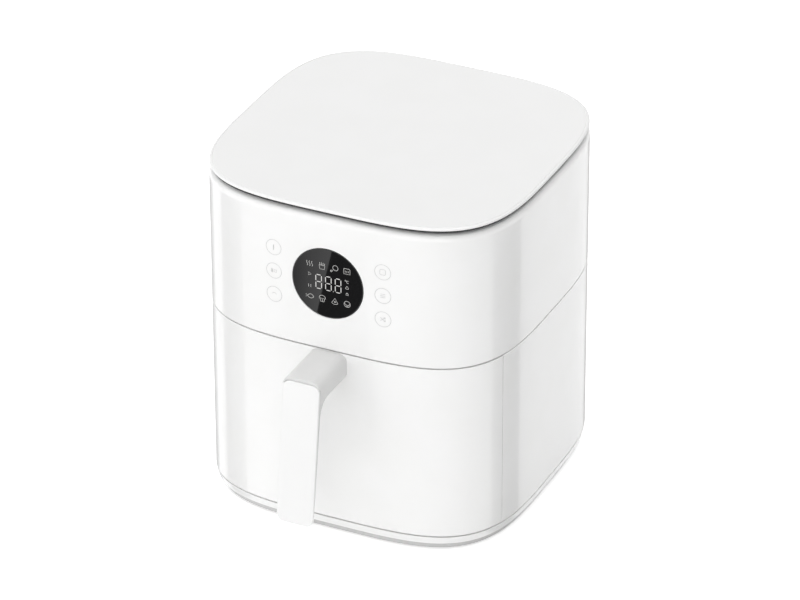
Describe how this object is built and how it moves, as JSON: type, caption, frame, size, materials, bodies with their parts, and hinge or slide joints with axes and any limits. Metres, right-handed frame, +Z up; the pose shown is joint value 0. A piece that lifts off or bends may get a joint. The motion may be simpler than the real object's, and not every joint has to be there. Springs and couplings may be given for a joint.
{
  "type": "air fryer",
  "caption": "Countertop hot-air fryer: rounded-square white housing, pull-out pot with crisper plate, front handle, round display and touch keys.",
  "frame": {"origin": "on the surface that the feet stand on, at the centre of the whole object's footprint, handle included", "axes": "+Z up; the handle, the display and the drawer's opening direction point to -Y; +X is to the right as seen from the front"},
  "size_m": [0.28, 0.3473, 0.3086],
  "materials": {
    "white_plastic": "fine satin moulding, polypropylene",
    "lid_plastic": "smooth satin panel",
    "grey_plastic": "light grey satin moulding",
    "dark_plastic": "dark grey moulding",
    "heat_plastic": "heat-resistant black moulding",
    "foot_rubber": "matt rubber",
    "silicone": "soft silicone",
    "display_glass": "polished tinted window",
    "sheet_steel": "aluminised sheet",
    "nonstick": "black non-stick coat with fine texture",
    "heater_steel": "heat-tinted tube",
    "zinc_screw": "zinc-plated",
    "fan_aluminium": "pressed sheet",
    "motor_core": "laminated steel with copper windings",
    "bearing_bronze": "sintered bronze",
    "shaft_steel": "ground steel",
    "ceramic": "unglazed",
    "circuit_board": "solder mask",
    "components": "moulded component cases",
    "nylon": "natural nylon",
    "spring_steel": "wire spring"
  },
  "bodies": {
    "housing": {"base_tray": "grey_plastic", "base_ring": "white_plastic", "foot_front_left": "foot_rubber", "foot_front_right": "foot_rubber", "foot_rear_left": "foot_rubber", "foot_rear_right": "foot_rubber", "base_screws": "zinc_screw", "lower_shell": "white_plastic", "front_frame": "grey_plastic", "door_switch": "components", "cavity_liner": "sheet_steel", "drawer_skid_left": "nylon", "drawer_skid_right": "nylon", "cord_gland": "foot_rubber", "chamber_frame": "heat_plastic", "heat_shield": "sheet_steel", "shield_screws": "zinc_screw", "heating_element": "heater_steel", "heater_bushes": "ceramic", "heater_clips": "sheet_steel", "heater_guard": "sheet_steel", "exhaust_duct": "heat_plastic", "temperature_sensor": "shaft_steel", "thermal_fuse": "ceramic", "motor_can": "sheet_steel", "motor_end_cap": "sheet_steel", "motor_stator": "motor_core", "motor_bearing_lower": "bearing_bronze", "motor_bearing_upper": "bearing_bronze", "motor_screws": "zinc_screw", "upper_housing": "white_plastic", "case_screws": "zinc_screw", "rear_grille": "grey_plastic", "lid_carrier": "dark_plastic", "lid_screws": "zinc_screw", "top_cover": "lid_plastic", "display_lens": "display_glass", "display_module": "components", "display_board": "circuit_board", "display_screws": "zinc_screw", "touch_springs": "spring_steel", "power_board": "circuit_board", "power_components": "components"},
    "drawer": {"drawer_front": "white_plastic", "drawer_back_plate": "white_plastic", "pot": "nonstick", "pot_bracket": "sheet_steel", "handle_body": "grey_plastic", "handle_cover": "white_plastic", "handle_screws": "zinc_screw"},
    "crisper": {"crisper_plate": "nonstick", "crisper_bumpers": "silicone"},
    "rotor": {"motor_rotor": "motor_core", "motor_shaft": "shaft_steel", "hot_fan": "fan_aluminium", "cooling_fan": "nylon", "fan_nut": "zinc_screw"}
  },
  "joints": [
    {"name": "drawer_slide", "type": "slide", "parent": "housing", "child": "drawer", "axis": [0, -1, 0], "range_m": [0, 0.23]},
    {"name": "crisper_lift", "type": "slide", "parent": "drawer", "child": "crisper", "axis": [0, 0, 1], "range_m": [0, 0.115]},
    {"name": "fan_spin", "type": "hinge", "parent": "housing", "child": "rotor", "pos_m": [0, 0.0337, 0.2284], "axis": [0, 0, 1], "continuous": true}
  ]
}
